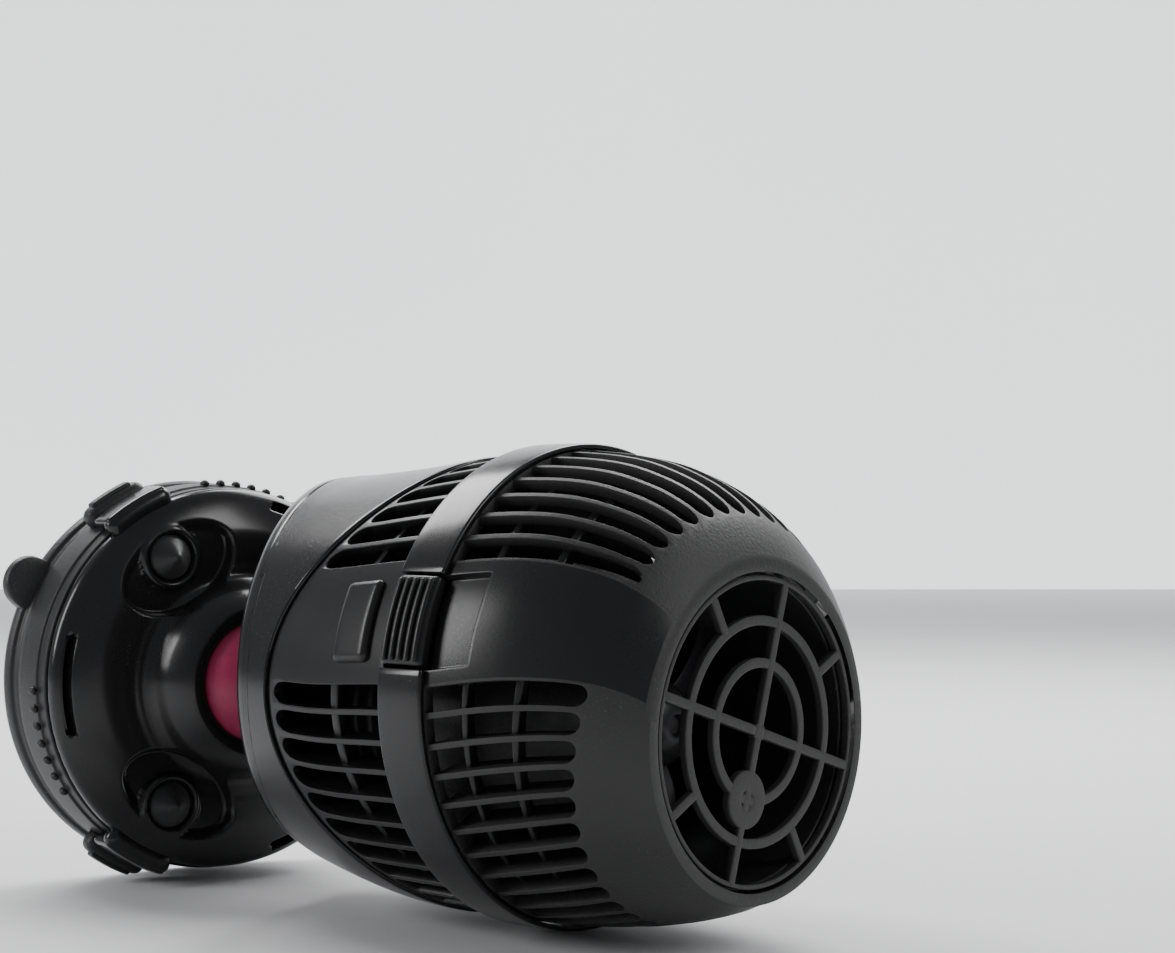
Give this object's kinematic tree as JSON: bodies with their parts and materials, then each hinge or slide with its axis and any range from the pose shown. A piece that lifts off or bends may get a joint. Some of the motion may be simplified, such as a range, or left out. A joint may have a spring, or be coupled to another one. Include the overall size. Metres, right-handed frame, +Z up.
{
  "type": "wave maker pump",
  "caption": "Aquarium wave maker pump: propeller in a slotted cage with a round outlet grille, aimed by a ball swivel on a round magnet holder with a domed cover.",
  "frame": {"origin": "centre of the holder's flat rubber face, where it sits on the aquarium glass", "axes": "+X straight out of the glass along the holder's axis, +Z up, +Y to the right when looking at the glass"},
  "size_m": [0.1641, 0.1131, 0.0912],
  "materials": {
    "black_gloss": "polished black moulded plastic with soft wide highlights",
    "black_satin": "semi-gloss black moulded plastic",
    "housing_matte": "matte black moulded plastic",
    "grille_matte": "matte dark grey moulded plastic",
    "propeller_plastic": "satin dark grey plastic",
    "latch_satin": "satin black plastic",
    "rubber": "soft black rubber",
    "ball_rubber": "satin magenta silicone rubber",
    "seat_plastic": "natural white slippery plastic",
    "steel": "zinc plated steel",
    "magnet": "nickel coated magnet",
    "copper": "enamelled copper winding",
    "ceramic": "ground white ceramic"
  },
  "bodies": {
    "holder": {"suction_base": "rubber", "magnet_housing": "housing_matte", "magnet_back_plate": "steel", "holder_magnet": "magnet", "dome_cover": "black_gloss", "rubber_peg_1": "rubber", "rubber_peg_2": "rubber", "rubber_peg_3": "rubber", "dome_screw_1": "steel", "dome_screw_2": "steel", "dome_screw_3": "steel"},
    "seat": {"ball_seat": "seat_plastic"},
    "ball": {"swivel_ball": "ball_rubber", "ball_stem": "black_satin", "stem_nut": "steel"},
    "pump": {"rear_hood": "black_gloss", "cable_gland": "rubber", "rear_cage": "black_satin", "band_upper": "black_gloss", "band_lower": "black_gloss", "motor_housing": "housing_matte", "motor_cap": "housing_matte", "stator_core": "steel", "stator_coil_rear": "copper", "stator_coil_front": "copper", "rear_bush": "ceramic", "rotor_shaft": "ceramic", "motor_bracket": "housing_matte"},
    "rotor": {"rotor_magnet": "magnet", "front_bush": "ceramic", "propeller": "propeller_plastic"},
    "cover": {"front_cage": "black_satin", "outlet_grille": "grille_matte", "flow_duct": "housing_matte"},
    "latch_left": {"latch_pad_left": "latch_satin"},
    "latch_right": {"latch_pad_right": "latch_satin"}
  },
  "joints": [
    {"name": "swivel_turn", "type": "hinge", "parent": "holder", "child": "seat", "pos_m": [0.031, 0, 0], "axis": [1, 0, 0], "continuous": true},
    {"name": "swivel_tilt", "type": "hinge", "parent": "seat", "child": "ball", "pos_m": [0.031, 0, 0], "axis": [0, 0, 1], "range_deg": [-66, 2]},
    {"name": "pump_roll", "type": "hinge", "parent": "ball", "child": "pump", "pos_m": [0.031, 0, 0], "axis": [0.848, 0.5299, 0], "range_deg": [-170, 170]},
    {"name": "propeller_spin", "type": "hinge", "parent": "pump", "child": "rotor", "pos_m": [0.11354, 0.02474, -0.0032], "axis": [0.9759, 0.2181, 0], "continuous": true},
    {"name": "cage_release", "type": "slide", "parent": "pump", "child": "cover", "axis": [0.9759, 0.2181, 0], "range_m": [0, 0.045]},
    {"name": "latch_left_press", "type": "slide", "parent": "pump", "child": "latch_left", "axis": [-0.2075, 0.9282, -0.309], "range_m": [0, 0.0015], "stiffness_N_per_m": 800},
    {"name": "latch_right_press", "type": "slide", "parent": "pump", "child": "latch_right", "axis": [0.2075, -0.9282, -0.309], "range_m": [0, 0.0015], "stiffness_N_per_m": 800}
  ]
}
